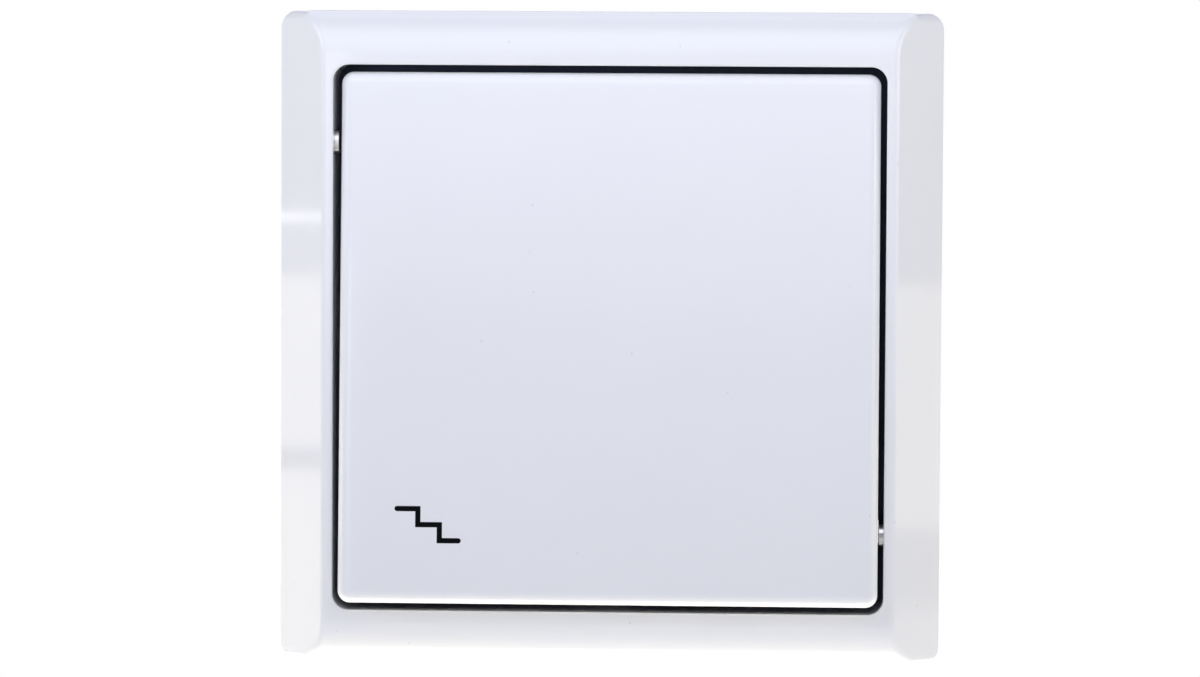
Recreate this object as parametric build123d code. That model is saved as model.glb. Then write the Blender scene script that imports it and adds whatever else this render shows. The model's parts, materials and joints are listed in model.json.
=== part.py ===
from build123d import *
from math import asin, cos, radians, sin
import os

# Two-way light switch for a flush wall box, in millimetres.
# X points right, Y into the wall and Z up. The wall's surface is the plane Y = 0 and the front faces -Y.
# The rocker is stored with its top pressed in, and the seesaw contact with its lower arm closed.

# Rocker key
key_width = 66.6
key_height = 65.65
key_corner = 1.5  # corner radius seen from the front
key_edge = 1.4  # rounding of the front edge
key_wall = 1.8
key_skirt = 6.5  # from the face back to the open rim
key_proud = 1.6  # face in front of the frame when the key stands level
key_gap = 0.85  # between key and frame, left and right
key_end_gap = 0.975  # and top and bottom
key_tilt = 4.0  # degrees each way from level
seat_rib = 2.0  # depth of the ribs that sit on the cradle
rib_thickness = 1.2
prong_width = 4.0
prong_thickness = 1.4
prong_barb = 0.6
prong_tail = 1.4  # from the barb's catching face to the prong's end
key_play = 0.25  # round the prongs in the cradle
key_low = 0.2  # how far the key hangs down in its play
key_aside = 0.1  # and stands to the right

# Cover frame
side_border = 7.0  # from the opening to the outer edge, left and right
end_border = 6.7  # from the opening to the outer edge, top and bottom
side_strip = 1.2  # flat strip between the opening and the slanted side
end_strip = 1.5  # flat strip between the opening and the rolled end
end_roll = 6.0  # radius of the rolled ends
end_edge = 0.8  # rounding between the roll and the upright end
skirt_height = 3.2  # upright part of the sides
slant_rise = 5.8
frame_wall = 1.6
inner_corner = 0.6  # radius of the hollow's corners
collar_wall = 1.2
opening_corner = 2.0
opening_edge = 0.3
crease_edge = 1.2
frame_rib_spacing = 13.0

# Support plate
plate_thickness = 1.0
plate_margin = 0.3  # plate beyond the collar that stands on it
plate_corner = 4.0
box_spacing = 60.0  # fixing screws of the wall box
box_slot_width = 4.0
box_slot_length = 5.5
window_corner = 1.5
catch_height = 24.2  # of the two frame catches above and below the middle
catch_width = 2.8
catch_reach = 6.4  # how far a catch stands up from the plate
catch_ridge = 0.3
catch_bend = 0.6
catch_round = 1.2  # corners of a catch's end

# Cradle under the key
pivot_out = 4.0  # rocker's axis in front of the wall
cradle_width = 23.0
cradle_height = 22.0
cradle_wall = 1.6
cradle_web = 1.8
cradle_drop = 1.4  # skirt of the cradle behind the axis
trunnion_radius = 2.0
tube_wall = 1.45
bore_floor = 1.3  # end wall of the tube behind the cradle's web
tube_reach = 9.0  # tube's end behind the axis

# Plunger and spring
plunger_radius = 2.45
plunger_length = 8.5
plunger_reach = 14.0  # plunger's tip behind the axis
spring_wire = 0.3  # radius of the wire
spring_sides = 8  # flats round the wire
spring_radius = 1.9
spring_turns = 4

# Bearing cover
cover_thickness = 1.6
cheek_thickness = 3.0
cheek_half = 4.6
cheek_rise = 2.6  # cheek in front of the axis
cheek_round = 1.3
snap_mouth = 0.35  # how much narrower than the trunnion the bearing's mouth is, each side

# Contacts
contact_tilt = 8.0  # degrees each way from level
contact_arm = 10.0  # from the seesaw's axis to its tips
blade_thickness = 1.0
blade_width = 5.6
blade_overhang = 2.2  # blade beyond the middle of its tips
blade_corner = 1.4
bead_radius = 0.8
tip_radius = 1.6
tip_height = 0.9
tip_dome = 4.0
strip_thickness = 0.8
strip_width = 5.2
ear_half = 1.7
ear_cover = 0.3  # ear in front of the seesaw's axis
arm_width = 3.2  # narrow arm of the common strip
creep_gap = 2.5  # between the common arm and its neighbour

# Terminals
terminal_inset = 9.0  # from the base's side to the middle of a terminal
cage_wall = 1.0
cage_thread_wall = 1.4
cage_length = 6.0
cage_apart = 0.8  # from the contact chamber to the cage
strip_short = 0.8  # strip ends this much inside the cage
wire_space = 3.0
clamp_travel = 2.4
terminal_screw_radius = 1.75
terminal_head_radius = 2.7
terminal_head_height = 1.8

# Base
base_wall = 1.6
base_chamfer = 5.0
base_edge = 0.6  # chamfer round the rear face
wire_funnel = 0.5  # widening and depth of the wire entries' mouths
base_width = 36.0
sink = 0.4  # terminal screw heads below the rear face
rear_rib = 1.2
guide_thickness = 1.2
guide_start = 2.0

# Screws
screw_slot = 0.8
screw_slot_depth = 0.8
screw_bevel = 0.4
screw_point = 0.35
plate_screw_radius = 1.4
plate_screw_length = 9.0
plate_head_radius = 2.6
plate_head_height = 1.5

# Claws
claw_offset = 4.5  # claw screw beside the base
claw_screw_radius = 1.5
claw_head_radius = 2.6
claw_head_height = 1.8
claw_width = 8.6
claw_sheet = 1.0
claw_stand = 3.5  # leg outside the screw's axis
claw_flare = 1.4
claw_flare_length = 4.0
claw_teeth = 4
tooth_depth = 1.5
barrel_radius = 2.6
barrel_length = 6.0
claw_draw = 3.0  # way of the nut along its screw
claw_tail = 2.8  # foot inside the screw's axis
foot_play = 0.9  # half the extra length of the foot's slot

# Clearances
same = 0.01  # two places closer than this are one
turn_fit = 0.05  # turning and threaded fits, on the radius
slide_fit = 0.1
loose = 0.3
touch_gap = 0.06  # between closed contact tips
tip_gap = 0.2  # between plunger and level seesaw

# Sizes that follow from the ones above
opening_width = key_width + 2 * key_gap
opening_height = key_height + 2 * key_end_gap
frame_width = opening_width + 2 * side_border
frame_height = opening_height + 2 * end_border
frame_depth = skirt_height + slant_rise
slant_width = side_border - side_strip
roll_start = opening_height / 2 + end_strip
frame_corner = frame_wall + inner_corner
collar_width = opening_width + 2 * collar_wall
collar_height = opening_height + 2 * collar_wall
collar_corner = opening_corner + collar_wall
plate_width = collar_width + 2 * plate_margin
plate_height = collar_height + 2 * plate_margin
catch_inner = key_width / 2 + loose
catch_outer = catch_inner + plate_thickness

face_out = frame_depth + key_proud
seat_out = face_out - key_wall - seat_rib
pivot_y = -pivot_out
bore_radius = plunger_radius + slide_fit
tube_radius = bore_radius + tube_wall
bore_end = cradle_web - seat_out + bore_floor
tip_y = pivot_y + plunger_reach
cheek_inner = cradle_width / 2 + loose
cheek_outer = cheek_inner + cheek_thickness
prong_x = (tube_radius + cradle_width / 2 - cradle_wall) / 2
prong_z = cradle_height / 2 - cradle_wall - loose - prong_barb - prong_thickness

# Depths from the seesaw back to the rear face
blade_y = tip_y + tip_gap + blade_thickness
dome_centre = tip_height - tip_dome
lean = radians(contact_tilt)
touch_y = blade_y + dome_centre * cos(lean) + contact_arm * sin(lean) + tip_dome + touch_gap
touch_z = contact_arm * cos(lean) - dome_centre * sin(lean)
strip_y = touch_y + tip_height
floor_y = strip_y + strip_thickness
cage_inner_y = strip_y - wire_space
cage_rear_y = floor_y + slide_fit + cage_thread_wall
cage_floor_y = cage_rear_y + clamp_travel + loose
head_seat_y = cage_floor_y + base_wall
base_depth = head_seat_y + terminal_head_height + sink

# Heights from the middle up to the base's end
pad_inner = touch_z - strip_width / 2
pad_outer = touch_z + strip_width / 2
chamber_z = pad_outer + loose
cage_z = chamber_z + cage_apart
cage_end = cage_z + cage_length
strip_end = cage_end - strip_short
pocket_end = cage_end + loose
base_height = 2 * (pocket_end + base_wall)
cage_width = strip_width + 2 * slide_fit + 2 * cage_wall
pocket_width = cage_width + 2 * slide_fit
terminal_z = cage_z + cage_length / 2
terminal_offset = base_width / 2 - terminal_inset
chamber_x = terminal_offset + strip_width / 2 + loose
ear_inner = blade_width / 2 + loose
ear_outer = ear_inner + strip_thickness
lug_outer = ear_outer + loose
arm_low = pad_inner - creep_gap
claw_x = base_width / 2 + claw_offset
barrel_y = base_depth - barrel_radius
foot_y = barrel_y - barrel_radius - turn_fit - claw_sheet / 2
leg_front = guide_start + claw_draw

# Sideways place of each terminal, and whether it stands at the top or the bottom end
terminals = {
    "upper": (-terminal_offset, 1),
    "lower": (-terminal_offset, -1),
    "common": (terminal_offset, -1),
}


def slab(sketch, near, far):
    """Solid of a sketch on the wall's plane, from Y = near back to Y = far."""
    return extrude(Plane.XZ.offset(-far) * sketch, far - near)


def span(x0, x1, z0, z1):
    """Rectangle between two X and two Z limits, in either order."""
    return Pos((x0 + x1) / 2, (z0 + z1) / 2) * Rectangle(abs(x1 - x0), abs(z1 - z0))


def block(x0, x1, near, far, z0, z1):
    return slab(span(x0, x1, z0, z1), near, far)


def pin(radius, x, z, near, far):
    """Round bar along Y."""
    return slab(Pos(x, z) * Circle(radius), near, far)


def bar(profile, x0, x1):
    """Solid of a profile drawn in Y and Z, from X = x0 to X = x1."""
    return extrude(Plane.YZ.offset(x0) * profile, x1 - x0, dir=(1, 0, 0))


def axle(radius, x0, x1, y, z):
    """Round bar along X."""
    return bar(Pos(y, z) * Circle(radius), x0, x1)


def slotted_screw(radius, length, head_radius, head_height):
    """Screw whose head stands on Z = 0 and whose shank hangs below."""
    low = (Align.CENTER, Align.CENTER, Align.MIN)
    high = (Align.CENTER, Align.CENTER, Align.MAX)
    head = Cylinder(head_radius, head_height, align=low)
    head = chamfer(head.edges().group_by(Axis.Z)[-1], screw_bevel)
    head -= Pos(0, 0, head_height) * Box(2 * head_radius, screw_slot, 2 * screw_slot_depth)
    shank = Cylinder(radius, length, align=high)
    return head + chamfer(shank.edges().group_by(Axis.Z)[0], screw_point)


def facing_out(x, y, z):
    """Place on a plane whose normal points out of the wall."""
    return Plane((x, y, z), x_dir=(1, 0, 0), z_dir=(0, -1, 0))


def facing_in(x, y, z):
    """Place on a plane whose normal points into the wall."""
    return Plane((x, y, z), x_dir=(1, 0, 0), z_dir=(0, 1, 0))


def tipped(solid):
    """Turns a piece of the rocker from level to its stored position, top pressed in."""
    return solid.rotate(Axis((0, pivot_y, 0), (1, 0, 0)), -key_tilt)


def closed(solid):
    """Turns a piece of the seesaw from level to its stored position, lower arm closed."""
    return solid.rotate(Axis((0, blade_y, 0), (1, 0, 0)), contact_tilt)


def rolled_section(height, depth, roll, edge):
    """Section through the front and both rolled ends, drawn in Y and Z."""
    end = height / 2
    turn = asin((end - roll_start) / roll)
    middle = (roll - depth - roll * cos(turn / 2), roll_start + roll * sin(turn / 2))
    shoulder = roll - depth - roll * cos(turn)
    upper = make_face([
        Line((0, 0), (-depth, 0)),
        Line((-depth, 0), (-depth, roll_start)),
        ThreePointArc((-depth, roll_start), middle, (shoulder, end)),
        Line((shoulder, end), (0, end)),
        Line((0, end), (0, 0)),
    ])
    if edge:
        corner = upper.vertices().sort_by_distance((shoulder, end, 0))[0]
        upper = fillet(corner, edge)
    return upper + mirror(upper, about=Plane.XZ)


def frame_form(width, height, depth, roll, corner, edge=0, crease=0):
    """Ends rolled back by an arc, sides cut on a slant and corners rounded."""
    rolled = extrude(Plane.YZ * rolled_section(height, depth, roll, edge), width, both=True)
    foot = slant_rise - depth
    top = width / 2 - slant_width
    side = Polygon(
        (-width / 2, 0), (-width / 2, foot), (-top, -depth),
        (top, -depth), (width / 2, foot), (width / 2, 0), align=None,
    )
    form = rolled & extrude(Plane.XY * side, height, both=True)
    if crease:
        form = fillet([e for e in form.edges() if is_crease(e)], crease)
    return form & slab(RectangleRounded(width, height, corner), -depth, 0)


def is_crease(edge):
    """True on the ridge between the front and a slanted side of the frame."""
    middle = edge @ 0.5
    across = abs(middle.X) - (frame_width / 2 - slant_width)
    down = frame_depth + middle.Y
    on_slant = abs(across * slant_rise - down * slant_width) < same
    return on_slant and across < slant_width - frame_corner


def is_rim(edge):
    """True on the front edge of the frame's opening."""
    middle = edge @ 0.5
    across = abs(middle.X) - opening_width / 2
    along = abs(middle.Z) - opening_height / 2
    return max(across, along) < same and abs(middle.Y + frame_depth) < same


def catch_sites():
    """Side and height of the two catches that hold the frame."""
    return [(-1, catch_height), (1, -catch_height)]


def cover_frame():
    form = frame_form(
        frame_width, frame_height, frame_depth, end_roll, frame_corner, end_edge, crease_edge
    )
    cavity = frame_form(
        frame_width - 2 * frame_wall, frame_height - 2 * frame_wall, frame_depth - frame_wall,
        end_roll - frame_wall, inner_corner,
    )
    cavity -= slab(RectangleRounded(collar_width, collar_height, collar_corner), -frame_depth, 0)
    rib_back = -plate_thickness - loose
    ribs = []
    for i in (-2, -1, 0, 1, 2):
        low = i * frame_rib_spacing - rib_thickness / 2
        high = low + rib_thickness
        ribs.append(block(-frame_width / 2, frame_width / 2, -frame_depth, rib_back, low, high))
        ribs.append(block(low, high, -frame_depth, rib_back, -frame_height / 2, frame_height / 2))
    for rib in ribs:
        cavity -= rib
    frame = form - cavity
    frame -= slab(RectangleRounded(opening_width, opening_height, opening_corner), -frame_depth, 0)
    frame = fillet([e for e in frame.edges() if is_rim(e)], opening_edge)
    seat = slab(Rectangle(plate_width + 2 * loose, plate_height + 2 * loose), -plate_thickness, 0)
    frame -= seat
    for side, z in catch_sites():
        low = z - catch_width / 2 - slide_fit
        high = z + catch_width / 2 + slide_fit
        top = -plate_thickness - catch_reach - slide_fit
        frame -= block(0, side * (catch_outer + turn_fit), top, -plate_thickness, low, high)
        groove = Pos(side * catch_outer, ridge_y()) * Circle(catch_ridge + turn_fit)
        frame -= extrude(Plane.XY.offset(low) * groove, high - low)
    return frame


def ridge_y():
    """Depth of the ridge that snaps the catch into the collar."""
    return -plate_thickness - catch_reach + 2 * catch_ridge


def support_plate():
    plate = slab(RectangleRounded(plate_width, plate_height, plate_corner), -plate_thickness, 0)
    window = RectangleRounded(2 * (cheek_outer + loose), cradle_height - 2 * cradle_wall, window_corner)
    plate -= slab(window, -plate_thickness, 0)
    for turn in (0, 90, 180, 270):
        slot = Rot(0, 0, turn) * Pos(box_spacing / 2, 0) * SlotOverall(box_slot_length, box_slot_width)
        plate -= slab(slot, -plate_thickness, 0)
    for side in (-1, 1):
        plate -= pin(claw_screw_radius + slide_fit, side * claw_x, 0, -plate_thickness, 0)
        plate -= pin(plate_screw_radius + slide_fit, 0, side * terminal_z, -plate_thickness, 0)
    for side, z in catch_sites():
        low = z - catch_width / 2
        near = low - slide_fit
        far = low + catch_width + slide_fit
        lanced = span(side * catch_inner, side * (catch_inner - catch_reach), near, far)
        plate -= slab(lanced, -plate_thickness, 0)
        stem = Pos(side * (catch_inner + catch_outer) / 2, -plate_thickness - catch_reach, 0)
        stem *= Rectangle(plate_thickness, catch_reach + plate_thickness, align=(Align.CENTER, Align.MIN))
        bend = stem.vertices().group_by(Axis.Y)[-1].sort_by(Axis.X)
        stem = fillet(bend[0 if side > 0 else -1], catch_bend)
        stem += Pos(side * catch_outer, ridge_y()) * Circle(catch_ridge)
        tongue = span(-plate_thickness - catch_reach, 0, low, low + catch_width)
        tongue = fillet(tongue.vertices().group_by(Axis.X)[0], catch_round)
        edge = side * (catch_outer + catch_ridge)
        plate += extrude(Plane.XY.offset(low) * stem, catch_width) & bar(tongue, min(0, edge), max(0, edge))
    return plate


def prong(x, side):
    """Snap prong under the key, its barb pointing away from the middle."""
    top = -(face_out - key_wall)
    hook = -(seat_out - cradle_web) + turn_fit
    end = hook + prong_tail
    inner = side * prong_z
    outer = side * (prong_z + prong_thickness)
    barb = side * (prong_z + prong_thickness + prong_barb)
    profile = Polygon(
        (top, inner), (top, outer), (hook, outer),
        (hook, barb), (end, outer - side * prong_barb), (end, inner), align=None,
    )
    return bar(profile, x - prong_width / 2, x + prong_width / 2)


def rocker_key():
    rim_y = -(face_out - key_skirt)
    under_y = -(face_out - key_wall)
    key = slab(RectangleRounded(key_width, key_height, key_corner), -face_out, rim_y)
    key = fillet(key.faces().sort_by(Axis.Y)[0].edges(), key_edge)
    hollow = RectangleRounded(key_width - 2 * key_wall, key_height - 2 * key_wall, inner_corner)
    key -= slab(hollow, under_y, rim_y)
    inner_x = key_width / 2 - key_wall
    inner_z = key_height / 2 - key_wall
    for side in (-1, 1):
        x = side * (tube_radius + rib_thickness)
        key += block(x - rib_thickness / 2, x + rib_thickness / 2, under_y, -seat_out, -inner_z, inner_z)
        z = side * (cradle_height / 2 - cradle_wall / 2)
        key += block(-inner_x, inner_x, under_y, -seat_out, z - rib_thickness / 2, z + rib_thickness / 2)
        for end in (-1, 1):
            key += prong(end * prong_x, side)
    return tipped(Pos(key_aside, 0, -key_low) * key)


def rocker_cradle():
    half_x = cradle_width / 2
    half_z = cradle_height / 2
    hollow_x = half_x - cradle_wall
    hollow_z = half_z - cradle_wall
    back = pivot_y + cradle_drop
    web_back = -(seat_out - cradle_web)
    cradle = block(-half_x, half_x, -seat_out, back, -half_z, half_z)
    cradle -= block(-hollow_x, hollow_x, web_back, back, -hollow_z, hollow_z)
    cradle += pin(tube_radius, 0, 0, web_back, pivot_y + tube_reach)
    cradle += block(-hollow_x, hollow_x, web_back, back, -rib_thickness / 2, rib_thickness / 2)
    cradle -= pin(bore_radius, 0, 0, bore_end, pivot_y + tube_reach)
    for side in (-1, 1):
        inner = side * hollow_x
        outer = side * (cheek_outer - slide_fit)
        cradle += axle(trunnion_radius, min(inner, outer), max(inner, outer), pivot_y, 0)
        for end in (-1, 1):
            low = end * (prong_z - key_play)
            high = end * (prong_z + prong_thickness + key_play)
            x = side * prong_x
            reach = prong_width / 2 + key_play
            cradle -= block(x - reach, x + reach, -seat_out, web_back, low, high)
    return tipped(cradle)


def plunger():
    back = tip_y - plunger_length
    body = pin(plunger_radius, 0, 0, back, tip_y - plunger_radius)
    return tipped(body + Pos(0, tip_y - plunger_radius, 0) * Sphere(plunger_radius))


def plunger_spring():
    length = tip_y - plunger_length - bore_end - 2 * spring_wire - 2 * turn_fit
    path = Helix(length / spring_turns, length, spring_radius)
    section = Plane(path @ 0, z_dir=path % 0) * RegularPolygon(spring_wire, spring_sides)
    wire = sweep(section, path=path, is_frenet=True)
    return tipped(facing_in(0, bore_end + spring_wire + turn_fit, 0) * wire)


def base_outline(inset):
    """Rectangle with cut corners, the base's own outline or one inside it."""
    outline = chamfer(Rectangle(base_width, base_height).vertices(), base_chamfer)
    return offset(outline, -inset, kind=Kind.INTERSECTION) if inset else outline


def cheek(side):
    """Bearing cheek with a snap-in mouth for one trunnion."""
    front = pivot_y - cheek_rise
    form = Pos((front + cover_thickness) / 2, 0) * Rectangle(cover_thickness - front, 2 * cheek_half)
    form = fillet(form.vertices().group_by(Axis.X)[0], cheek_round)
    form -= Pos(pivot_y, 0) * Circle(trunnion_radius + turn_fit)
    form -= Pos((front + pivot_y) / 2, 0) * Rectangle(cheek_rise, 2 * (trunnion_radius - snap_mouth))
    start = cheek_inner if side > 0 else -cheek_outer
    return bar(form, start, start + cheek_thickness)


def bearing_cover():
    cover = slab(base_outline(base_wall), 0, cover_thickness)
    swing = (pivot_out + cover_thickness) * sin(radians(key_tilt))
    slot = SlotOverall(2 * (tube_radius + swing + loose), 2 * (tube_radius + loose), rotation=90)
    cover -= slab(slot, 0, cover_thickness)
    for side in (-1, 1):
        cover += cheek(side)
        cover -= pin(plate_screw_radius + slide_fit, 0, side * terminal_z, 0, cover_thickness)
    for x, side in terminals.values():
        post = strip_width / 2 - slide_fit
        near = side * (chamber_z - base_wall)
        far = side * (chamber_z - slide_fit)
        cover += block(x - post, x + post, 0, strip_y, near, far)
    return cover


def switch_base():
    base = slab(base_outline(0), 0, base_depth)
    base = chamfer(base.faces().sort_by(Axis.Y)[-1].edges(), base_edge)
    base -= slab(base_outline(base_wall - slide_fit), 0, cover_thickness)
    base -= block(-chamber_x, chamber_x, 0, floor_y, -chamber_z, chamber_z)
    rear_x = base_width / 2 - base_wall
    rear_z = cage_z - loose - base_wall
    base -= block(-rear_x, rear_x, floor_y + base_wall, base_depth, -rear_z, rear_z)
    for i in (-1, 0, 1):
        x = i * rear_x / 2
        base += block(x - rear_rib / 2, x + rear_rib / 2, floor_y, base_depth, -rear_z, rear_z)
    base += block(-rear_x, rear_x, floor_y, base_depth, -rear_rib / 2, rear_rib / 2)
    for x, side in terminals.values():
        half = pocket_width / 2
        base -= block(x - half, x + half, 0, floor_y, side * pad_inner, side * pocket_end)
        base -= block(x - half, x + half, floor_y, cage_floor_y, side * (cage_z - loose), side * pocket_end)
        base -= pin(terminal_screw_radius + loose, x, side * terminal_z, cage_floor_y, head_seat_y)
        base -= pin(terminal_head_radius + loose, x, side * terminal_z, head_seat_y, base_depth)
        wire = wire_space / 2
        mouth = wire + wire_funnel
        outside = side * base_height / 2
        base -= block(x - wire, x + wire, cage_inner_y, strip_y, side * pocket_end, outside)
        base -= block(
            x - mouth, x + mouth, cage_inner_y - wire_funnel, strip_y + wire_funnel,
            outside - side * wire_funnel, outside,
        )
    for side in (-1, 1):
        near = side * base_width / 2
        far = side * (claw_x + claw_screw_radius)
        for end in (-1, 1):
            low = end * (claw_width / 2 + loose)
            base += block(near, far, guide_start, base_depth - base_wall, low, low + end * guide_thickness)
        depth = plate_screw_length - plate_thickness + loose
        base -= pin(plate_screw_radius + turn_fit, 0, side * terminal_z, 0, depth)
    return base


def contact_tip():
    """Domed contact tip standing on Z = 0."""
    button = Cylinder(tip_radius, tip_height, align=(Align.CENTER, Align.CENTER, Align.MIN))
    return button & Pos(0, 0, dome_centre) * Sphere(tip_dome)


def moving_contact():
    length = 2 * (contact_arm + blade_overhang)
    front = blade_y - blade_thickness
    blade = slab(RectangleRounded(blade_width, length, blade_corner), front, blade_y)
    blade += block(-lug_outer, lug_outer, front, blade_y, -bead_radius, bead_radius)
    return closed(blade + axle(bead_radius, -lug_outer, lug_outer, blade_y, 0))


def moving_contact_tips():
    return [closed(facing_in(0, blade_y, end * contact_arm) * contact_tip()) for end in (-1, 1)]


def fixed_contact_tips():
    return [facing_out(0, strip_y, end * touch_z) * contact_tip() for end in (-1, 1)]


def traveller_contact(side):
    """Flat strip from a fixed tip to its terminal."""
    x = -terminal_offset
    pad = span(x - strip_width / 2, strip_width / 2, side * pad_inner, side * pad_outer)
    pad += span(x - strip_width / 2, x + strip_width / 2, side * pad_inner, side * strip_end)
    return slab(pad, strip_y, floor_y)


def common_contact():
    right = terminal_offset + strip_width / 2
    arm_top = -arm_low + arm_width
    pad = span(-ear_outer, ear_outer, -arm_low, ear_half)
    pad += span(-ear_outer, right, -arm_low, min(arm_top, -ear_half))
    pad += span(right - strip_width, right, -strip_end, min(arm_top, -ear_half))
    strip = slab(pad, strip_y, floor_y)
    notch = bead_radius + turn_fit
    ear_front = blade_y - ear_cover
    for side in (-1, 1):
        strip += block(side * ear_inner, side * ear_outer, ear_front, floor_y, -ear_half, ear_half)
    strip -= axle(notch, -lug_outer, lug_outer, blade_y, 0)
    return strip - block(-lug_outer, lug_outer, ear_front, blade_y, -notch, notch)


def terminal_cage(x, side):
    """Loop that lifts towards the screw's head and clamps the wire against the strip."""
    half = cage_width / 2
    front = cage_inner_y - cage_wall
    cage = block(x - half, x + half, front, cage_rear_y, side * cage_z, side * cage_end)
    inner = half - cage_wall
    rear = cage_rear_y - cage_thread_wall
    cage -= block(x - inner, x + inner, cage_inner_y, rear, side * cage_z, side * cage_end)
    return cage - pin(terminal_screw_radius + turn_fit, x, side * terminal_z, rear, cage_rear_y)


def terminal_screw(x, side):
    length = head_seat_y - floor_y - turn_fit
    screw = slotted_screw(terminal_screw_radius, length, terminal_head_radius, terminal_head_height)
    return facing_in(x, head_seat_y, side * terminal_z) * screw


def plate_screws():
    screw = slotted_screw(plate_screw_radius, plate_screw_length, plate_head_radius, plate_head_height)
    return [facing_out(0, -plate_thickness, side * terminal_z) * screw for side in (-1, 1)]


def claw_screw(side):
    length = plate_thickness + base_depth + loose
    screw = slotted_screw(claw_screw_radius, length, claw_head_radius, claw_head_height)
    return facing_out(side * claw_x, -plate_thickness, 0) * screw


def claw_nut(side):
    """Barrel nut that lets the claw's foot rock on it."""
    x = side * claw_x
    barrel = Pos(x, barrel_y, 0) * Cylinder(barrel_radius, barrel_length)
    return barrel - pin(claw_screw_radius + turn_fit, x, 0, barrel_y - barrel_radius, base_depth)


def claw(side):
    """Toothed claw, bent from sheet, with a slotted foot on the nut."""
    leg = claw_x + claw_stand
    line = FilletPolyline(
        (claw_x - claw_tail, foot_y), (leg, foot_y), (leg, leg_front + claw_flare_length),
        (leg + claw_flare, leg_front), radius=claw_sheet,
    )
    sheet = extrude(Plane.XY.offset(-claw_width / 2) * trace(line, claw_sheet), claw_width)
    pitch = claw_width / claw_teeth
    for i in range(claw_teeth - 1):
        z = (i + 1) * pitch - claw_width / 2
        end = leg_front - claw_sheet
        gap = Polygon((end, z - pitch / 2), (end, z + pitch / 2), (leg_front + tooth_depth, z), align=None)
        sheet -= bar(gap, claw_x, leg + claw_flare + claw_sheet)
    width = 2 * (claw_screw_radius + loose)
    slot = Pos(claw_x, 0) * SlotOverall(width + 2 * foot_play, width)
    sheet -= slab(slot, foot_y - claw_sheet, foot_y + claw_sheet)
    return sheet if side > 0 else mirror(sheet, about=Plane.YZ)


pieces = {
    "cover_frame": cover_frame(),
    "rocker_key": rocker_key(),
    "rocker_cradle": rocker_cradle(),
    "plunger": plunger(),
    "plunger_spring": plunger_spring(),
    "support_plate": support_plate(),
    "bearing_cover": bearing_cover(),
    "switch_base": switch_base(),
    "moving_contact": moving_contact(),
    "moving_contact_tips": Compound(moving_contact_tips()),
    "fixed_contact_tips": Compound(fixed_contact_tips()),
    "common_contact": common_contact(),
    "upper_contact": traveller_contact(1),
    "lower_contact": traveller_contact(-1),
    "plate_screws": Compound(plate_screws()),
    "left_claw": claw(-1),
    "right_claw": claw(1),
    "left_claw_nut": claw_nut(-1),
    "right_claw_nut": claw_nut(1),
    "left_claw_screw": claw_screw(-1),
    "right_claw_screw": claw_screw(1),
}
for name, (x, side) in terminals.items():
    pieces[name + "_terminal"] = terminal_cage(x, side)
    pieces[name + "_terminal_screw"] = terminal_screw(x, side)

os.makedirs("parts", exist_ok=True)
for node, piece in pieces.items():
    export_step(piece, "parts/" + node + ".step")
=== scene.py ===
import json
from math import pi, radians

import bmesh
import bpy
from mathutils import Matrix, Vector


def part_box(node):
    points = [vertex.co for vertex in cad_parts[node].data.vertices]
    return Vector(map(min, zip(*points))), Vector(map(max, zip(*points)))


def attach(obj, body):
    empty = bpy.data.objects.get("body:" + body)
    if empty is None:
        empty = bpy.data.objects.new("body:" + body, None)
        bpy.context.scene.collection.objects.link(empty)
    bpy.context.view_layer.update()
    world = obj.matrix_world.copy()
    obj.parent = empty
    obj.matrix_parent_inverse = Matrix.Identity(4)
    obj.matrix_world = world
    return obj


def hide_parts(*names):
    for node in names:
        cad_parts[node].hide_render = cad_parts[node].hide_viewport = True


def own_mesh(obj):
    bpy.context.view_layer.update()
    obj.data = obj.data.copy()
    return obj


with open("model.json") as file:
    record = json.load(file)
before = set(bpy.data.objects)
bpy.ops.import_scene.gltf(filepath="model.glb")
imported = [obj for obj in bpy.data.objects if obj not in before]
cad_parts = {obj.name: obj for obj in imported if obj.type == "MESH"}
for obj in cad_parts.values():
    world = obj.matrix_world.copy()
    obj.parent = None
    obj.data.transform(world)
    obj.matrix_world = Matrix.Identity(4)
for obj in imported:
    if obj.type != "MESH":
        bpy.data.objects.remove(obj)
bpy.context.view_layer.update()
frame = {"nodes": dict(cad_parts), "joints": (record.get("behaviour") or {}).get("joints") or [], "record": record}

# Two-way light switch: the printed sign, the threaded screws, the plunger's spring, the finishes,
# the studio and the camera.
# Metres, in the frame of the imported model: X right, Y into the wall, Z up, the rocker facing -Y.

mm = 0.001

# Stair sign printed on the rocker, placed from the middle of its face
sign_left = -25.8 * mm
sign_top = -21.32 * mm
sign_treads = (2.57 * mm, 2.67 * mm, 2.33 * mm)
sign_riser = 1.955 * mm
sign_stroke = 0.65 * mm
sign_close = sign_stroke / 100
print_thickness = 0.02 * mm
cap_steps = 10

# Screws: shank radius, thread pitch and head height
claw_shank = 1.5 * mm
claw_pitch = 0.5 * mm
claw_head = 1.8 * mm
terminal_shank = 1.75 * mm
terminal_pitch = 0.6 * mm
terminal_head = 1.8 * mm
plate_shank = 1.4 * mm
plate_pitch = 0.6 * mm
plate_head = 1.5 * mm

# What all screws have: the driver's slot, the head's round, the ring on the shank's end and the
# thread. The thread's depth is a share of its pitch, and what lies past the end share is the end.
screw_slot_width = 0.8 * mm
screw_slot_depth = 0.8 * mm
screw_round = 0.4 * mm
screw_round_steps = 4
screw_sides = 48
ring_share = 1 / 3
end_share = 0.99
thread_depth = 0.6
thread_steps = 24

# Spring behind the plunger
spring_wire = 0.3 * mm
spring_radius = 1.9 * mm
spring_turns = 4
spring_sides = 12
spring_steps = 32

# Edges flatter than this are shaded smooth
smooth_angle = radians(35)

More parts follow.
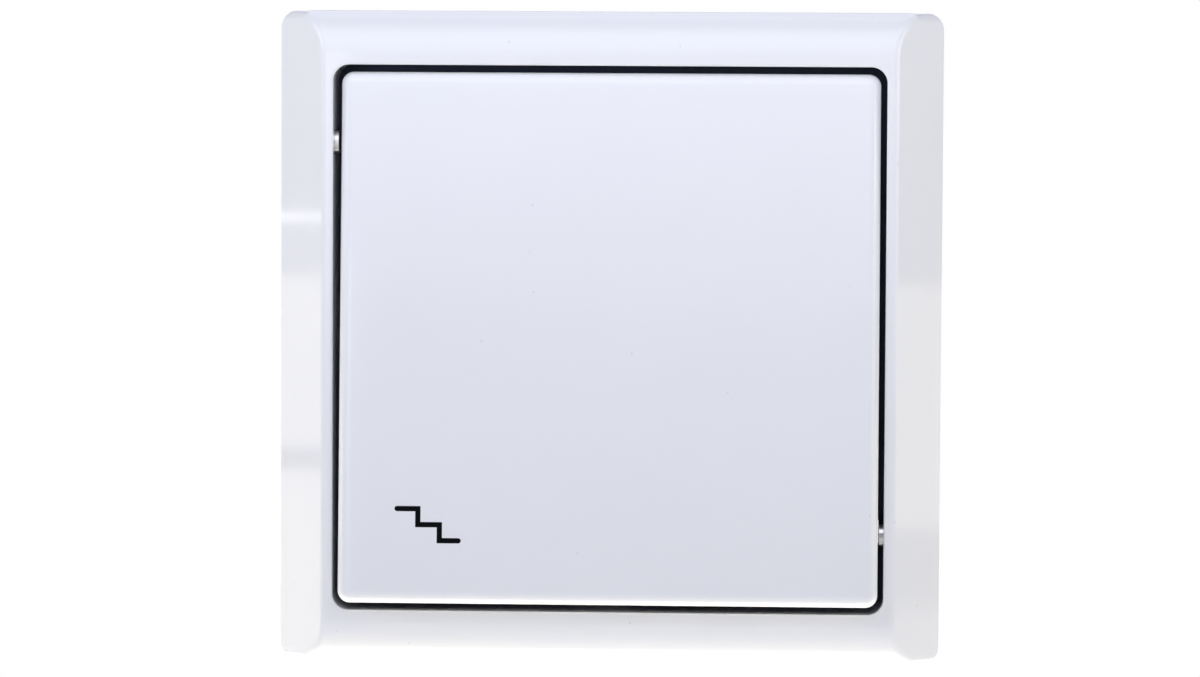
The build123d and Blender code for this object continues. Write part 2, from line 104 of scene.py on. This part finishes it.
# Camera and the photograph's frame
photo_width = 1200
focal_pixels = 4802.7
camera_place = Vector((25.541, -600.0, 36.632)) * mm
camera_yaw = -0.0449
camera_pitch = -0.0615
camera_roll = 0.0054
camera_near = 10 * mm
sensor_width = 36.0

# Studio
floor_height = -160 * mm
floor_size = 1.5
floor_colour = (0.80, 0.80, 0.81, 1)
floor_cloud = 60
floor_change = 1.02
floor_rough = 0.6
floor_rough_change = 0.1
background_colour = (1.0, 1.0, 1.0, 1)
room_colour = (0.02, 0.02, 0.02, 1)
left_side = -1
right_side = 1
card_distance = 0.5
card_width = 0.3
card_depth = {left_side: 0.04, right_side: 0.0}
cool_white = (0.94, 0.97, 1.11)
plain_white = (1.0, 1.0, 1.0)
warm_white = (1.0, 0.95, 0.8)

# Finishes, with sizes and depths in millimetres
plastic_ior = 1.5
zinc_cloud = 3.5
zinc_grain = 0.25
zinc_relief = 0.004

# Place of the rocker as stored, from the middle of its travel
rocker_joint = next(j for j in frame["joints"] if j["name"] == "rocker_tilt")
pivot = Vector(rocker_joint["pos_m"])
key_tilt = radians(rocker_joint["range_deg"][1]) / 2
to_pivot = Matrix.Translation(pivot)
tipped = to_pivot @ Matrix.Rotation(-key_tilt, 4, "X") @ to_pivot.inverted()


class Wire:
    """Output socket of a node. Arithmetic and comparison with it add Math nodes to its tree."""

    def __init__(self, nodes, socket):
        self.nodes = nodes
        self.socket = socket

    def maths(self, operation, first, second):
        return self.nodes.node("ShaderNodeMath", {"operation": operation}, {0: first, 1: second})

    def __add__(self, other):
        return self.maths("ADD", self, other)

    def __radd__(self, other):
        return self.maths("ADD", other, self)

    def __sub__(self, other):
        return self.maths("SUBTRACT", self, other)

    def __rsub__(self, other):
        return self.maths("SUBTRACT", other, self)

    def __mul__(self, other):
        return self.maths("MULTIPLY", self, other)

    def __lt__(self, other):
        return self.maths("LESS_THAN", self, other)

    def __gt__(self, other):
        return self.maths("GREATER_THAN", self, other)


class Nodes:
    """Node tree of a material or a light in the making."""

    def __init__(self, tree):
        self.tree = tree

    def node(self, kind, settings, inputs, output=0):
        """Adds a node: its settings, then its sockets' values or links. Gives one output."""
        node = self.tree.nodes.new(kind)
        for name, value in settings.items():
            setattr(node, name, value)
        for socket, value in inputs.items():
            self.join(node.inputs[socket], value)
        return Wire(self, node.outputs[output])

    def join(self, socket, value):
        if isinstance(value, Wire):
            self.tree.links.new(value.socket, socket)
        else:
            socket.default_value = value


class Finish(Nodes):
    """A node material around one Principled shader."""

    def __init__(self, name, **constants):
        self.material = bpy.data.materials.new(name)
        self.material.use_nodes = True
        super().__init__(self.material.node_tree)
        self.shader = self.tree.nodes["Principled BSDF"]
        self.feed(**constants)

    def feed(self, **sockets):
        """Gives the shader constants, or values that vary over the surface."""
        for socket, value in sockets.items():
            self.join(self.shader.inputs[socket.replace("_", " ")], value)
        return self.material

    def place(self, stretch=(1, 1, 1)):
        """Place on the piece in millimetres, divided by a stretch along each axis."""
        where = self.node("ShaderNodeTexCoord", {}, {}, "Object")
        scale = [1 / mm / s for s in stretch]
        return self.node("ShaderNodeMapping", {}, {"Vector": where, "Scale": scale})

    def noise(self, where, size, detail=2.0):
        """Cloudy value from 0 to 1 with patches of about that size in millimetres."""
        inputs = {"Vector": where, "Scale": 1 / size, "Detail": detail}
        return self.node("ShaderNodeTexNoise", {}, inputs, "Fac")

    def blend(self, share, first, second):
        """Mix of two colours, all of the second where the share is 1."""
        inputs = {0: share, 6: first, 7: second}
        return self.node("ShaderNodeMix", {"data_type": "RGBA"}, inputs, 2)

    def relief(self, height, depth):
        """Normal of a surface whose height varies by that depth in millimetres."""
        return self.node("ShaderNodeBump", {}, {"Height": height, "Distance": depth * mm})


def white_gloss_plastic():
    """Glossy white moulding with a trace of orange peel and a few faint dust specks."""
    white = (0.845, 0.848, 0.86, 1)
    bright_white = (0.87, 0.872, 0.88, 1)
    dust = (0.42, 0.42, 0.44, 1)
    cloud_size, gloss_size, peel_size, peel_depth = 18, 5, 1.6, 0.0003
    speck_spacing, speck_radius, clean_share, speck_cover = 3, 0.05, 0.75, 0.35
    rough, rough_change = 0.035, 0.02
    finish = Finish("white_gloss_plastic", IOR=plastic_ior)
    where = finish.place()
    tint = finish.blend(finish.noise(where, cloud_size), white, bright_white)
    cells = {"Vector": where, "Scale": 1 / speck_spacing}
    near = finish.node("ShaderNodeTexVoronoi", {}, cells, "Distance")
    cell = finish.node("ShaderNodeTexVoronoi", {}, cells, "Color")
    lot = finish.node("ShaderNodeSeparateColor", {}, {0: cell})
    speck = (near < speck_radius) * (lot > clean_share) * speck_cover
    return finish.feed(
        Base_Color=finish.blend(speck, tint, dust),
        Roughness=rough + finish.noise(where, gloss_size) * rough_change + speck,
        Normal=finish.relief(finish.noise(where, peel_size, 1.0), peel_depth),
    )


def matt_plastic(name, light, dark, grain, rough):
    """Moulded plastic with a fine erosion grain of that size."""
    cloud_size, cloud_share, grain_share = 6, 0.6, 0.4
    grain_rough, grain_depth = 0.16, 0.012
    finish = Finish(name, IOR=plastic_ior)
    where = finish.place()
    cloud = finish.noise(where, cloud_size)
    sand = finish.noise(where, grain, 3.0)
    return finish.feed(
        Base_Color=finish.blend(cloud * cloud_share + sand * grain_share, dark, light),
        Roughness=rough + sand * grain_rough - grain_rough / 2,
        Normal=finish.relief(sand, grain_depth),
    )


def zinc_layer(finish, stretch, rough):
    """Clouds of passivation and a grain along the sheet or the turning.

    Gives the clouds, the mix of both, the roughness and the relief.
    """
    cloud_share, grain_share, cloud_rough, grain_rough = 0.7, 0.3, 0.12, 0.1
    cloud = finish.noise(finish.place(), zinc_cloud, 3.0)
    grain = finish.noise(finish.place(stretch), zinc_grain)
    mix = cloud * cloud_share + grain * grain_share
    gloss = rough + cloud * cloud_rough + grain * grain_rough
    return cloud, mix, gloss, finish.relief(grain, zinc_relief)


def plated_steel(name, light, dark, stretch, rough):
    """Zinc plating over steel."""
    finish = Finish(name, Metallic=1.0)
    _, mix, gloss, relief = zinc_layer(finish, stretch, rough)
    return finish.feed(
        Base_Color=finish.blend(mix, dark, light), Roughness=gloss, Normal=relief
    )


def plate_with_painted_shade_and_glint():
    """Zinc plate in a dark tone that is painted shade for the gaps round the rocker, with a painted glint on the
    catch ends towards the front.
    """
    # The two dark tones are painted shade for the gaps; the bright tone is a painted glint on the catch ends.
    dark = (0.028, 0.034, 0.052, 1)
    light = (0.05, 0.056, 0.078, 1)
    painted_glint_colour = (0.82, 0.8, 0.77, 1)
    stretch, rough, glint_gloss = (1, 1, 30), 0.34, 0.16
    shade_until, glint_from, ragged = -4.4, -5.6, 1.2
    finish = Finish("zinc_plated_plate", Metallic=1.0)
    cloud, mix, gloss, relief = zinc_layer(finish, stretch, rough)
    # Painted shade deeper into the wall and a painted glint towards the front, with a ragged border between them;
    # the glint is also glossier.
    depth = finish.node("ShaderNodeSeparateXYZ", {}, {0: finish.place()}, "Y")
    edge = depth + cloud * ragged
    painted_glint_share = finish.node("ShaderNodeMapRange", {}, {0: edge, 1: shade_until, 2: glint_from})
    return finish.feed(
        Base_Color=finish.blend(painted_glint_share, finish.blend(mix, dark, light), painted_glint_colour),
        Roughness=gloss - painted_glint_share * glint_gloss,
        Normal=relief,
    )


def drawn_metal(name, light, dark, stretch, rough):
    """Bare brass, copper, silver or spring steel with drawing marks and a slight tarnish."""
    tarnish_size, tarnish_rough = 2.2, 0.15
    mark_size, mark_rough, mark_depth = 0.15, 0.06, 0.003
    finish = Finish(name, Metallic=1.0)
    tarnish = finish.noise(finish.place(), tarnish_size, 4.0)
    marks = finish.noise(finish.place(stretch), mark_size, 1.0)
    return finish.feed(
        Base_Color=finish.blend(tarnish, light, dark),
        Roughness=rough + tarnish * tarnish_rough + marks * mark_rough,
        Normal=finish.relief(marks, mark_depth),
    )


def printing_ink():
    """Black pad-printed ink, a little uneven in gloss."""
    black = (0.002, 0.002, 0.003, 1)
    thin_black = (0.005, 0.005, 0.007, 1)
    cover_size, rough, rough_change = 0.4, 0.35, 0.15
    finish = Finish("printing_ink", IOR=1.45, Specular_IOR_Level=0.05)
    cover = finish.noise(finish.place(), cover_size)
    return finish.feed(
        Base_Color=finish.blend(cover, black, thin_black),
        Roughness=rough + cover * rough_change,
    )


# Light and dark tone, size of the grain and roughness
matt_plastics = {
    "white_cradle_plastic": ((0.78, 0.78, 0.75, 1), (0.72, 0.72, 0.69, 1), 0.3, 0.42),
    "acetal": ((0.84, 0.83, 0.78, 1), (0.79, 0.78, 0.72, 1), 0.2, 0.32),
    "grey_plastic": ((0.24, 0.24, 0.25, 1), (0.19, 0.19, 0.2, 1), 0.35, 0.5),
    "dark_plastic": ((0.052, 0.052, 0.056, 1), (0.03, 0.03, 0.033, 1), 0.35, 0.46),
}

# Light and dark tone, stretch of the grain along each axis and roughness
plated_steels = {
    "zinc_plated_claw": ((0.68, 0.68, 0.70, 1), (0.52, 0.52, 0.55, 1), (1, 25, 1), 0.3),
    "zinc_plated_screw": ((0.76, 0.76, 0.78, 1), (0.58, 0.59, 0.62, 1), (8, 1, 8), 0.24),
}

# Light and dark tone, stretch of the drawing marks along each axis and roughness
drawn_metals = {
    "spring_steel": ((0.62, 0.62, 0.62, 1), (0.5, 0.5, 0.51, 1), (1, 6, 1), 0.24),
    "brass_strip": ((0.80, 0.60, 0.26, 1), (0.62, 0.43, 0.17, 1), (20, 1, 1), 0.26),
    "brass_cage": ((0.77, 0.59, 0.29, 1), (0.6, 0.43, 0.19, 1), (1, 1, 20), 0.3),
    "copper_blade": ((0.78, 0.44, 0.27, 1), (0.6, 0.3, 0.17, 1), (1, 1, 20), 0.26),
    "silver_tip": ((0.88, 0.87, 0.84, 1), (0.7, 0.68, 0.63, 1), (1, 1, 1), 0.2),
}

finishes = {
    "white_gloss_plastic": white_gloss_plastic(),
    "zinc_plated_plate": plate_with_painted_shade_and_glint(),
    "printing_ink": printing_ink(),
}
finishes.update({name: matt_plastic(name, *looks) for name, looks in matt_plastics.items()})
finishes.update({name: plated_steel(name, *looks) for name, looks in plated_steels.items()})
finishes.update({name: drawn_metal(name, *looks) for name, looks in drawn_metals.items()})


def leave_alone():
    """Selects nothing, so that the next operator acts on the new piece alone."""
    if bpy.context.mode != "OBJECT":
        bpy.ops.object.mode_set(mode="OBJECT")
    bpy.ops.object.select_all(action="DESELECT")


def take_up(*pieces):
    """Selects these pieces alone and makes the last one active."""
    leave_alone()
    for piece in pieces:
        piece.select_set(True)
    bpy.context.view_layer.objects.active = pieces[-1]


def pick(piece, kind, test):
    """Selects the edges or faces of a piece in edit mode by where their middle lies."""
    bpy.ops.mesh.select_mode(type=kind.upper())
    bpy.ops.mesh.select_all(action="DESELECT")
    shape = bmesh.from_edit_mesh(piece.data)
    for part in shape.edges if kind == "edge" else shape.faces:
        points = [v.co for v in part.verts]
        if test(sum(points, Vector()) / len(points)):
            part.select = True
    shape.select_flush(True)
    bmesh.update_edit_mesh(piece.data)


def apply_modifier(piece, kind, **settings):
    modifier = piece.modifiers.new(kind.lower(), kind)
    for name, value in settings.items():
        setattr(modifier, name, value)
    take_up(piece)
    bpy.ops.object.modifier_apply(modifier=modifier.name)


def finish_piece(piece, name, place, body, slot, *nodes):
    """Brings a modelled piece to its place, smooths its round faces and ties it to its body."""
    take_up(piece)
    piece.matrix_world = place
    bpy.ops.object.transform_apply(location=True, rotation=True, scale=True)
    bpy.ops.object.shade_smooth_by_angle(angle=smooth_angle)
    piece.name = name
    piece.data.name = name
    piece.data.materials.clear()
    piece.data.materials.append(finishes[slot])
    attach(piece, body)
    if nodes:
        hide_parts(*nodes)
    return piece


def pick_at(sign, x, y):
    """Selects the edge of the flat sign whose middle lies there."""
    pick(sign, "edge", lambda p: abs(p.x - x) < sign_close and abs(p.y - y) < sign_close)


def extrude_by(x, y):
    bpy.ops.mesh.extrude_region_move(TRANSFORM_OT_translate={"value": (x, y, 0)})


def round_end(sign, x, y, turn):
    """Closes one end of the sign's stroke with a half disc."""
    pick_at(sign, x, y)
    bpy.ops.mesh.subdivide(number_cuts=1)
    pick_at(sign, x, y + sign_stroke / 4)
    bpy.ops.mesh.spin(steps=cap_steps, angle=turn * pi, center=(x, y, 0), axis=(0, 0, 1))


def stair_sign():
    """Three treads in one stroke with round ends, drawn flat and laid on the rocker's face."""
    leave_alone()
    half = sign_stroke / 2
    bpy.ops.mesh.primitive_plane_add(size=sign_stroke, location=(half, 0, 0))
    sign = bpy.context.object
    bpy.ops.object.transform_apply(location=True)
    bpy.ops.object.mode_set(mode="EDIT")
    x, y = sign_treads[0], 0.0
    pick_at(sign, sign_stroke, y)
    extrude_by(x - sign_stroke - half, 0)
    for tread in sign_treads[1:]:
        extrude_by(sign_stroke, 0)
        pick_at(sign, x, y - half)
        extrude_by(0, sign_stroke - sign_riser)
        extrude_by(0, -sign_stroke)
        y -= sign_riser
        pick_at(sign, x + half, y)
        last = tread is sign_treads[-1]
        extrude_by(tread - (half if last else sign_stroke), 0)
        x += tread
    round_end(sign, 0, 0, -1)
    round_end(sign, x, y, 1)
    bpy.ops.mesh.select_all(action="SELECT")
    bpy.ops.mesh.remove_doubles(threshold=sign_close)
    bpy.ops.mesh.normals_make_consistent(inside=False)
    apply_modifier(sign, "SOLIDIFY", thickness=print_thickness, offset=0)
    key = frame["nodes"]["rocker_key"].data
    face = min((tipped.inverted() @ v.co).y for v in key.vertices)
    stand = facing(sign_left, face, sign_top, True)
    finish_piece(sign, "stair_sign", tipped @ stand, "rocker", "printing_ink")


def turned(radius, low, high):
    """Round bar along Z between two heights, left in edit mode."""
    leave_alone()
    bpy.ops.mesh.primitive_cylinder_add(
        vertices=screw_sides, radius=radius, depth=high - low, location=(0, 0, (low + high) / 2)
    )
    bar = bpy.context.object
    bpy.ops.object.transform_apply(location=True)
    bpy.ops.object.mode_set(mode="EDIT")
    return bar


def screw_head(radius, height):
    """Slotted pan head that stands on Z = 0."""
    head = turned(radius, 0, height)
    pick(head, "edge", lambda p: p.z > end_share * height)
    bpy.ops.mesh.bevel(offset=screw_round, segments=screw_round_steps, affect="EDGES")
    leave_alone()
    bpy.ops.mesh.primitive_cube_add(size=1, location=(0, 0, height))
    blade = bpy.context.object
    blade.scale = (4 * radius, screw_slot_width, 2 * screw_slot_depth)
    bpy.ops.object.transform_apply(location=True, scale=True)
    apply_modifier(head, "BOOLEAN", operation="DIFFERENCE", object=blade, solver="EXACT")
    bpy.data.objects.remove(blade)
    return head


def screw_core(radius, length):
    """Shank below the thread's crests, with a ring of faces round its end."""
    core = turned(radius, -length, 0)
    pick(core, "face", lambda p: p.z < -end_share * length)
    bpy.ops.mesh.inset(thickness=radius * ring_share)
    leave_alone()
    return core


def wound(sides, radius, place, rise, turns, steps):
    """Closed bar of that section, brought to its place beside Z and wound up or down round it."""
    leave_alone()
    bpy.ops.mesh.primitive_circle_add(vertices=sides, radius=radius, fill_type="NOTHING")
    winding = bpy.context.object
    winding.matrix_world = place
    bpy.ops.object.transform_apply(location=True, rotation=True)
    apply_modifier(
        winding, "SCREW", axis="Z", angle=2 * pi, screw_offset=rise, iterations=turns,
        steps=steps, render_steps=steps, use_normal_calculate=True,
    )
    bpy.ops.object.mode_set(mode="EDIT")
    bpy.ops.mesh.select_all(action="DESELECT")
    bpy.ops.mesh.select_mode(type="EDGE")
    bpy.ops.mesh.select_non_manifold()
    bpy.ops.mesh.edge_face_add()
    bpy.ops.mesh.select_all(action="SELECT")
    bpy.ops.mesh.normals_make_consistent(inside=False)
    leave_alone()
    return winding


def screw_thread(radius, pitch, start, length):
    """Ridge with a triangular section, wound down the shank."""
    section = facing(radius - pitch / 2, 0, start, True) @ Matrix.Rotation(-pi / 2, 4, "Z")
    return wound(3, pitch / 2, section, -pitch, int(length / pitch), thread_steps)


def threaded_screw(shank, pitch, length, head_radius, head_height):
    """Screw along Z whose head stands on Z = 0 and whose threaded shank hangs below."""
    head = screw_head(head_radius, head_height)
    core = screw_core(shank - pitch * thread_depth, length)
    ridge = screw_thread(shank, pitch, -pitch, length - 2 * pitch)
    take_up(ridge, core, head)
    bpy.ops.object.join()
    return head


def copy_of(piece):
    twin = piece.copy()
    twin.data = piece.data.copy()
    bpy.context.scene.collection.objects.link(twin)
    return twin


def facing(x, y, z, outwards):
    """Place of a piece drawn along Z that stands there and points out of the wall or into it."""
    turn = pi / 2 if outwards else -pi / 2
    return Matrix.Translation((x, y, z)) @ Matrix.Rotation(turn, 4, "X")


def claw_screws():
    low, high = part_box("right_claw_screw")
    seat = low.y + claw_head
    radius = (high.x - low.x) / 2
    screw = threaded_screw(claw_shank, claw_pitch, high.y - seat, radius, claw_head)
    for side in ("left", "right"):
        node = side + "_claw_screw"
        low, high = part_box(node)
        place = facing((low.x + high.x) / 2, seat, (low.z + high.z) / 2, True)
        piece = copy_of(screw) if side == "left" else screw
        finish_piece(piece, node + "_threaded", place, node, "zinc_plated_screw", node)


def terminal_screws():
    low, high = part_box("common_terminal_screw")
    seat = high.y - terminal_head
    radius = (high.x - low.x) / 2
    screw = threaded_screw(terminal_shank, terminal_pitch, seat - low.y, radius, terminal_head)
    for name in ("upper", "lower", "common"):
        node = name + "_terminal_screw"
        low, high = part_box(node)
        place = facing((low.x + high.x) / 2, seat, (low.z + high.z) / 2, False)
        piece = screw if name == "common" else copy_of(screw)
        finish_piece(piece, node + "_threaded", place, node, "zinc_plated_screw", node)


def plate_screws():
    """The two screws that hold plate, cover and base together, one piece as in the model."""
    low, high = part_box("plate_screws")
    seat = low.y + plate_head
    radius = (high.x - low.x) / 2
    top = threaded_screw(plate_shank, plate_pitch, high.y - seat, radius, plate_head)
    bottom = copy_of(top)
    top.matrix_world = facing(0, seat, high.z - radius, True)
    bottom.matrix_world = facing(0, seat, low.z + radius, True)
    take_up(bottom, top)
    bpy.ops.object.transform_apply(location=True, rotation=True)
    bpy.ops.object.join()
    piece = finish_piece(
        top, "plate_screws_threaded", Matrix.Identity(4), "switch", "zinc_plated_screw",
        "plate_screws",
    )


def plunger_coil():
    """Spring in the rocker's tube."""
    solid = frame["nodes"]["plunger_spring"].data
    depths = [(tipped.inverted() @ v.co).y for v in solid.vertices]
    front = min(depths)
    length = max(depths) - front
    section = facing(spring_radius, 0, spring_wire, True)
    rise = (length - 2 * spring_wire) / spring_turns
    coil = wound(spring_sides, spring_wire, section, rise, spring_turns, spring_steps)
    stand = facing(0, front, 0, False)
    piece = finish_piece(
        coil, "plunger_spring_coil", tipped @ stand, "rocker", "spring_steel", "plunger_spring"
    )
    slide = next(j for j in frame["joints"] if j["name"] == "plunger_slide")
    stroke = slide["range_m"][1]
    (length - stroke) / length
    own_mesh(piece)


def dress_nodes():
    """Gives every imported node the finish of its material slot."""
    for part in frame["record"]["subparts"]:
        mesh = frame["nodes"][part["node"]].data
        mesh.materials.clear()
        mesh.materials.append(finishes[part["material_slot"]])


def pale_floor():
    leave_alone()
    bpy.ops.mesh.primitive_plane_add(size=floor_size, location=(0, 0, floor_height))
    floor = bpy.context.object
    floor.name = "floor"
    finish = Finish("pale_floor")
    tone = finish.noise(finish.place(), floor_cloud)
    colour = finish.blend(tone, floor_colour, [c * floor_change for c in floor_colour])
    rough = floor_rough + tone * floor_rough_change
    floor.data.materials.append(finish.feed(Base_Color=colour, Roughness=rough))


def softbox(name, place, aim, width, height, watts, tint, fade=None):
    """Rectangular studio light that faces a point and isn't seen by the camera itself."""
    leave_alone()
    bpy.ops.object.light_add(type="AREA", location=place)
    light = bpy.context.object
    light.name = name
    light.rotation_euler = (Vector(aim) - Vector(place)).to_track_quat("-Z", "Y").to_euler()
    light.data.shape = "RECTANGLE"
    light.data.size = width
    light.data.size_y = height
    light.data.energy = watts
    light.data.color = tint
    light.visible_camera = False
    if fade:
        light.data.use_nodes = True
        nodes = Nodes(light.data.node_tree)
        spot = nodes.node("ShaderNodeNewGeometry", {}, {}, "Parametric")
        level = nodes.node("ShaderNodeSeparateXYZ", {}, {0: spot}, "Y")
        nodes.join(nodes.tree.nodes["Emission"].inputs["Strength"], fade(level))


def from_top(level):
    """Softbox that fades from its upper edge to its lower one. The level is 1 at the top."""
    return level


def from_foot(level):
    """Softbox that fades from its lower edge to its upper one."""
    return 1 - level


def from_middle(level):
    """Softbox that fades from its middle to both edges."""
    return level * (1 - level) * 4


def side_card(name, side, low, high, watts, tint):
    """Upright card beside the switch that its slanted side mirrors between two heights."""
    depth = card_depth[side]
    middle = (low + high) / 2
    place = (side * card_distance, depth, middle)
    softbox(name, place, (0, depth, middle), card_width, high - low, watts, tint)


def white_room():
    """White surroundings for the camera and a dim room for the surfaces."""
    world = bpy.data.worlds.new("white_room")
    bpy.context.scene.world = world
    world.use_nodes = True
    tree = world.node_tree
    room = tree.nodes["Background"]
    room.inputs["Color"].default_value = room_colour
    paper = tree.nodes.new("ShaderNodeBackground")
    paper.inputs["Color"].default_value = background_colour
    rays = tree.nodes.new("ShaderNodeLightPath")
    choice = tree.nodes.new("ShaderNodeMixShader")
    tree.links.new(rays.outputs["Is Camera Ray"], choice.inputs[0])
    tree.links.new(room.outputs[0], choice.inputs[1])
    tree.links.new(paper.outputs[0], choice.inputs[2])
    tree.links.new(choice.outputs[0], tree.nodes["World Output"].inputs[0])


def lights():
    """Softboxes round the switch, lights for the floor and cards for the slanted sides."""
    softbox(
        "front_foot", place=(0, -0.3, 0.015), aim=(0, 0, 0.015), width=0.7, height=0.33,
        watts=0.167, tint=cool_white, fade=from_foot,
    )
    softbox(
        "front_left", place=(-0.225, -0.7, -0.02), aim=(-0.225, 0, -0.02), width=0.25, height=0.2,
        watts=0.427, tint=cool_white, fade=from_top,
    )
    softbox(
        "left_light", place=(-0.425, -0.205, 0.15), aim=(0, 0, 0.15), width=0.24, height=0.27,
        watts=0.8, tint=cool_white, fade=from_middle,
    )
    softbox(
        "right_light", place=(0.425, -0.205, 0.1), aim=(0, 0, 0.1), width=0.24, height=0.3,
        watts=0.69, tint=plain_white, fade=from_middle,
    )
    softbox(
        "near_top", place=(0, -0.16, 0.13), aim=(0, 0, 0.03), width=0.3, height=0.26,
        watts=0.465, tint=cool_white, fade=from_middle,
    )
    softbox(
        "top_light", place=(0, 0.2, 0.5), aim=(0, 0.2, 0), width=0.6, height=0.4,
        watts=0.9, tint=cool_white,
    )
    softbox(
        "low_light", place=(0, 0.05, -0.15), aim=(0, 0.05, 0), width=0.4, height=0.18,
        watts=0.75, tint=warm_white,
    )
    softbox(
        "back_light", place=(0, 0.6, 0.25), aim=(0, 0, 0), width=0.6, height=0.4,
        watts=1.0, tint=plain_white,
    )
    softbox(
        "floor_front", place=(0, -0.55, -0.06), aim=(0, -0.55, -1), width=1.5, height=0.4,
        watts=1.8, tint=plain_white,
    )
    softbox(
        "floor_back", place=(0, 0.55, -0.06), aim=(0, 0.55, -1), width=0.7, height=0.4,
        watts=0.8, tint=plain_white,
    )
    softbox(
        "floor_left", place=(-0.55, 0.2, -0.06), aim=(-0.55, 0.2, -1), width=0.4, height=1.1,
        watts=1.3, tint=plain_white,
    )
    softbox(
        "floor_right", place=(0.55, 0.2, -0.06), aim=(0.55, 0.2, -1), width=0.4, height=1.1,
        watts=1.3, tint=plain_white,
    )
    side_card("left_rim_card", left_side, -0.0032, -0.001, watts=0.0085, tint=plain_white)
    side_card("left_pale_card", left_side, -0.0149, -0.0032, watts=0.0035, tint=plain_white)
    side_card("left_card", left_side, -0.053, -0.0149, watts=0.077, tint=warm_white)
    side_card("left_lower_card", left_side, -0.15, -0.0581, watts=0.2, tint=warm_white)
    side_card("right_card", right_side, -0.0701, -0.0161, watts=0.08, tint=warm_white)
    side_card("right_lower_card", right_side, -0.15, -0.0874, watts=0.06, tint=plain_white)


def camera():
    leave_alone()
    bpy.ops.object.camera_add()
    lens = bpy.context.object
    lens.name = "camera"
    aim = Matrix.Rotation(-camera_yaw, 4, "Z") @ Matrix.Rotation(pi / 2 + camera_pitch, 4, "X")
    roll = Matrix.Rotation(camera_roll, 4, "Z")
    lens.matrix_world = Matrix.Translation(camera_place) @ aim @ roll
    lens.data.sensor_fit = "HORIZONTAL"
    lens.data.sensor_width = sensor_width
    lens.data.lens = focal_pixels * sensor_width / photo_width
    lens.data.clip_start = camera_near
    bpy.context.scene.camera = lens
    settings = bpy.context.scene.view_settings
    settings.view_transform = "Standard"
    settings.look = "None"


dress_nodes()
stair_sign()
claw_screws()
terminal_screws()
plate_screws()
plunger_coil()
pale_floor()
white_room()
lights()
camera()
